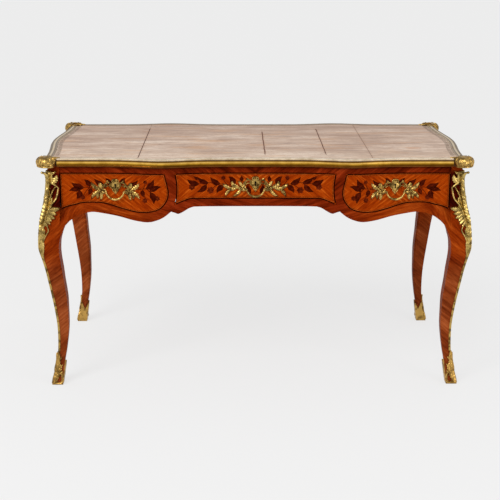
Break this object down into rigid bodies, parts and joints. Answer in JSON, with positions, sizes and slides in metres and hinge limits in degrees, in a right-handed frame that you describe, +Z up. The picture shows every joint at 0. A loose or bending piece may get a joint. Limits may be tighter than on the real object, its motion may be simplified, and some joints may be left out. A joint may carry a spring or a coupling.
{
  "type": "bureau plat",
  "caption": "Flat writing desk with a serpentine leather-lined top in a metal rim, frieze drawers with bail handles, cabriole legs and gilt mounts at the corners and feet.",
  "frame": {"origin": "on the floor under the centre of the desk", "axes": "+X to the right along the length as a sitter at the front sees it, -Y towards the drawers and the sitter, +Z up"},
  "size_m": [1.4336, 0.7816, 0.7871],
  "materials": {
    "kingwood": "dark red-brown straight-grained veneer laid on the slant, polished",
    "satine": "orange-brown quarter-matched veneer with dark stringing and leaf marquetry, polished",
    "oak": "plain oak, oiled",
    "gilt_bronze": "cast and chased bronze, dull gilt with dark recesses",
    "steel": "plain forged steel",
    "leather": "worn pinkish tan hide, faintly streaked, dark at the seams"
  },
  "bodies": {
    "carcass": {"leg_front_left": "kingwood", "leg_front_right": "kingwood", "leg_back_left": "kingwood", "leg_back_right": "kingwood", "front_top_rail": "kingwood", "front_apron": "kingwood", "front_dividers": "kingwood", "back_frieze": "kingwood", "side_frieze_left": "kingwood", "side_frieze_right": "kingwood", "knee_blocks": "kingwood", "drawer_partitions": "oak", "drawer_guides": "oak", "top_board": "oak", "leather_left": "leather", "leather_centre": "leather", "leather_right": "leather", "rim_front": "gilt_bronze", "rim_back": "gilt_bronze", "rim_left": "gilt_bronze", "rim_right": "gilt_bronze", "corner_clasps": "gilt_bronze", "knee_mounts": "gilt_bronze", "leg_fillets": "gilt_bronze", "sabot_front_left": "gilt_bronze", "sabot_front_right": "gilt_bronze", "sabot_back_left": "gilt_bronze", "sabot_back_right": "gilt_bronze", "back_handle_plates": "gilt_bronze", "back_handle_posts": "gilt_bronze"},
    "left_drawer": {"left_drawer_front": "satine", "left_drawer_sides": "oak", "left_drawer_back": "oak", "left_drawer_bottom": "oak", "left_handle_plate": "gilt_bronze", "left_handle_posts": "gilt_bronze", "left_lock": "steel"},
    "left_bail_body": {"left_bail": "gilt_bronze"},
    "left_bolt_body": {"left_lock_bolt": "steel"},
    "centre_drawer": {"centre_drawer_front": "satine", "centre_drawer_sides": "oak", "centre_drawer_back": "oak", "centre_drawer_bottom": "oak", "centre_handle_plate": "gilt_bronze", "centre_handle_posts": "gilt_bronze", "centre_lock": "steel"},
    "centre_bail_body": {"centre_bail": "gilt_bronze"},
    "centre_bolt_body": {"centre_lock_bolt": "steel"},
    "right_drawer": {"right_drawer_front": "satine", "right_drawer_sides": "oak", "right_drawer_back": "oak", "right_drawer_bottom": "oak", "right_handle_plate": "gilt_bronze", "right_handle_posts": "gilt_bronze", "right_lock": "steel"},
    "right_bail_body": {"right_bail": "gilt_bronze"},
    "right_bolt_body": {"right_lock_bolt": "steel"},
    "back_bail_left_body": {"back_bail_left": "gilt_bronze"},
    "back_bail_centre_body": {"back_bail_centre": "gilt_bronze"},
    "back_bail_right_body": {"back_bail_right": "gilt_bronze"}
  },
  "joints": [
    {"name": "left_drawer_slide", "type": "slide", "parent": "carcass", "child": "left_drawer", "axis": [0, -1, 0], "range_m": [0, 0.4]},
    {"name": "left_bail_swing", "type": "hinge", "parent": "left_drawer", "child": "left_bail_body", "pos_m": [-0.459, -0.36146, 0.669], "axis": [-1, 0, 0], "range_deg": [-10, 90]},
    {"name": "left_lock_throw", "type": "slide", "parent": "left_drawer", "child": "left_bolt_body", "axis": [0, 0, 1], "range_m": [0, 0.007]},
    {"name": "centre_drawer_slide", "type": "slide", "parent": "carcass", "child": "centre_drawer", "axis": [0, -1, 0], "range_m": [0, 0.4]},
    {"name": "centre_bail_swing", "type": "hinge", "parent": "centre_drawer", "child": "centre_bail_body", "pos_m": [0, -0.35501, 0.677], "axis": [-1, 0, 0], "range_deg": [-10, 90]},
    {"name": "centre_lock_throw", "type": "slide", "parent": "centre_drawer", "child": "centre_bolt_body", "axis": [0, 0, 1], "range_m": [0, 0.007]},
    {"name": "right_drawer_slide", "type": "slide", "parent": "carcass", "child": "right_drawer", "axis": [0, -1, 0], "range_m": [0, 0.4]},
    {"name": "right_bail_swing", "type": "hinge", "parent": "right_drawer", "child": "right_bail_body", "pos_m": [0.459, -0.36146, 0.669], "axis": [-1, 0, 0], "range_deg": [-10, 90]},
    {"name": "right_lock_throw", "type": "slide", "parent": "right_drawer", "child": "right_bolt_body", "axis": [0, 0, 1], "range_m": [0, 0.007]},
    {"name": "back_bail_left_swing", "type": "hinge", "parent": "carcass", "child": "back_bail_left_body", "pos_m": [-0.459, 0.36146, 0.669], "axis": [1, 0, 0], "range_deg": [-10, 90]},
    {"name": "back_bail_centre_swing", "type": "hinge", "parent": "carcass", "child": "back_bail_centre_body", "pos_m": [0, 0.35501, 0.677], "axis": [1, 0, 0], "range_deg": [-10, 90]},
    {"name": "back_bail_right_swing", "type": "hinge", "parent": "carcass", "child": "back_bail_right_body", "pos_m": [0.459, 0.36146, 0.669], "axis": [1, 0, 0], "range_deg": [-10, 90]}
  ]
}
